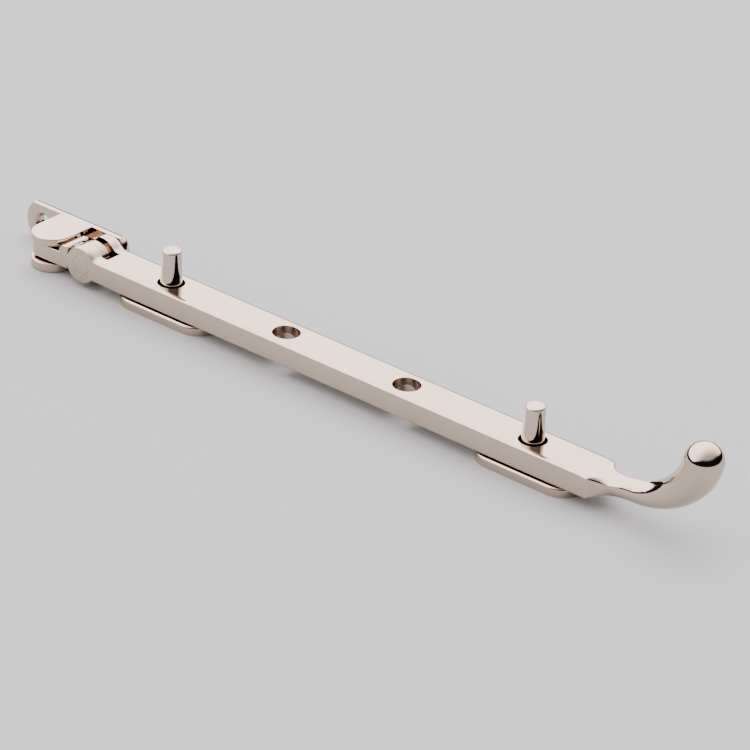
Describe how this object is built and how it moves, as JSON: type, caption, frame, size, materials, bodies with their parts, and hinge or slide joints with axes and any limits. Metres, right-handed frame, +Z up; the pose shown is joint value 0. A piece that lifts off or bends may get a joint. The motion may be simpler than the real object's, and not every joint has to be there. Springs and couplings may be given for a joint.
{
  "type": "casement window stay",
  "caption": "Peg stay for a casement window: arm with peg holes and curled bulb handle, swivelling sash bracket, and pegs on screw-down plates.",
  "frame": {"origin": "on the sill plane, under the middle of the peg plate nearest the hinge, on that peg's axis", "axes": "+X along the arm towards the bulb handle, +Y towards the face of the sash, +Z up from the sill"},
  "size_m": [0.2943, 0.0216, 0.035],
  "materials": {
    "polished_casting": "polished nickel plate, warm and mirror-bright",
    "polished_pin": "polished nickel plate on a riveted pin, ground flush",
    "polished_turned": "polished nickel plate on turned pegs",
    "polished_plate": "polished nickel plate on stamped plates"
  },
  "bodies": {
    "arm": {"stay_arm": "polished_casting", "fork_pin": "polished_pin"},
    "link": {"swivel_link": "polished_casting"},
    "bracket": {"sash_bracket": "polished_casting", "swivel_pin": "polished_pin"},
    "hinge_side_post": {"hinge_side_peg_plate": "polished_plate", "hinge_side_peg": "polished_turned"},
    "handle_side_post": {"handle_side_peg_plate": "polished_plate", "handle_side_peg": "polished_turned"}
  },
  "joints": [
    {"name": "arm_lift", "type": "hinge", "parent": "arm", "child": "link", "pos_m": [-0.034, 0, 0.0082], "axis": [0, -1, 0], "range_deg": [-90, 100]},
    {"name": "sash_swivel", "type": "hinge", "parent": "link", "child": "bracket", "pos_m": [-0.0528, -0.00105, 0.0063], "axis": [0, 0, 1], "range_deg": [-3, 183]},
    {"name": "hinge_side_peg_release", "type": "slide", "parent": "arm", "child": "hinge_side_post", "axis": [0, 0, -1], "range_m": [0, 0.025]},
    {"name": "handle_side_peg_release", "type": "slide", "parent": "arm", "child": "handle_side_post", "axis": [0, 0, -1], "range_m": [0, 0.025]}
  ]
}
